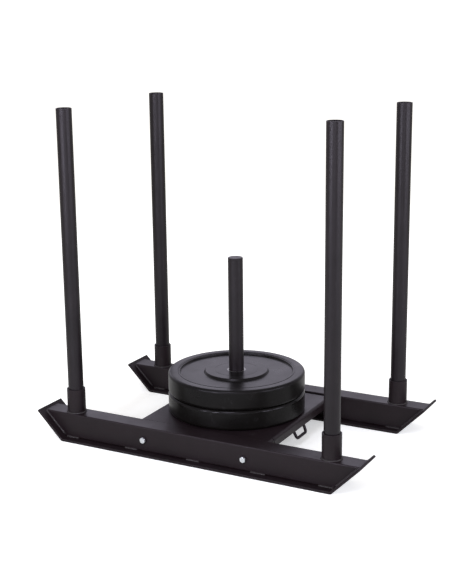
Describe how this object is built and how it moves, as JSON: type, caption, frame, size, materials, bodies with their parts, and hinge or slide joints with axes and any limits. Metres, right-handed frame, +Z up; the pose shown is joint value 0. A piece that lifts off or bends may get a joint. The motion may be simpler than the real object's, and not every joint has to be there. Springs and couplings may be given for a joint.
{
  "type": "push sled",
  "caption": "Push sled with upturned skids, a folded deck with a post that carries bumper plates, lift-out push uprights in sockets and a front tow loop.",
  "frame": {"origin": "on the floor, under the middle of the sled", "axes": "+X forward along the skids to the end with the tow loop, +Y to the sled's left, +Z up"},
  "size_m": [1.142, 0.673, 1.081],
  "materials": {
    "frame_coat": "black powder coat, satin with a fine orange peel",
    "plate_rubber": "moulded black rubber, satin",
    "plug_plastic": "black moulded plastic, matt",
    "insert_steel": "turned steel, satin",
    "bright_zinc": "bright zinc plate"
  },
  "bodies": {
    "sled_frame": {"left_skid_strap": "frame_coat", "left_skid_tube": "frame_coat", "right_skid_strap": "frame_coat", "right_skid_tube": "frame_coat", "front_left_socket": "frame_coat", "rear_left_socket": "frame_coat", "front_right_socket": "frame_coat", "rear_right_socket": "frame_coat", "deck_tray": "frame_coat", "tow_loop": "frame_coat", "horn_post": "frame_coat", "horn_cap": "frame_coat", "horn_foot_plate": "frame_coat", "front_left_bolt": "bright_zinc", "front_left_head_washer": "frame_coat", "front_left_nut_washer": "bright_zinc", "front_left_nut": "bright_zinc", "rear_left_bolt": "bright_zinc", "rear_left_head_washer": "frame_coat", "rear_left_nut_washer": "bright_zinc", "rear_left_nut": "bright_zinc", "front_right_bolt": "bright_zinc", "front_right_head_washer": "frame_coat", "front_right_nut_washer": "bright_zinc", "front_right_nut": "bright_zinc", "rear_right_bolt": "bright_zinc", "rear_right_head_washer": "frame_coat", "rear_right_nut_washer": "bright_zinc", "rear_right_nut": "bright_zinc"},
    "front_left_handle": {"front_left_upright": "frame_coat", "front_left_upright_plug": "plug_plastic"},
    "rear_left_handle": {"rear_left_upright": "frame_coat", "rear_left_upright_plug": "plug_plastic"},
    "front_right_handle": {"front_right_upright": "frame_coat", "front_right_upright_plug": "plug_plastic"},
    "rear_right_handle": {"rear_right_upright": "frame_coat", "rear_right_upright_plug": "plug_plastic"},
    "lower_weight": {"lower_bumper_plate": "plate_rubber", "lower_plate_insert": "insert_steel"},
    "upper_weight": {"upper_bumper_plate": "plate_rubber", "upper_plate_insert": "insert_steel"}
  },
  "joints": [
    {"name": "front_left_handle_lift", "type": "slide", "parent": "sled_frame", "child": "front_left_handle", "axis": [0, 0, 1], "range_m": [0, 0.12]},
    {"name": "rear_left_handle_lift", "type": "slide", "parent": "sled_frame", "child": "rear_left_handle", "axis": [0, 0, 1], "range_m": [0, 0.12]},
    {"name": "front_right_handle_lift", "type": "slide", "parent": "sled_frame", "child": "front_right_handle", "axis": [0, 0, 1], "range_m": [0, 0.12]},
    {"name": "rear_right_handle_lift", "type": "slide", "parent": "sled_frame", "child": "rear_right_handle", "axis": [0, 0, 1], "range_m": [0, 0.12]},
    {"name": "lower_weight_lift", "type": "slide", "parent": "sled_frame", "child": "lower_weight", "axis": [0, 0, 1], "range_m": [0, 0.52]},
    {"name": "upper_weight_lift", "type": "slide", "parent": "lower_weight", "child": "upper_weight", "axis": [0, 0, 1], "range_m": [0, 0.45]}
  ]
}
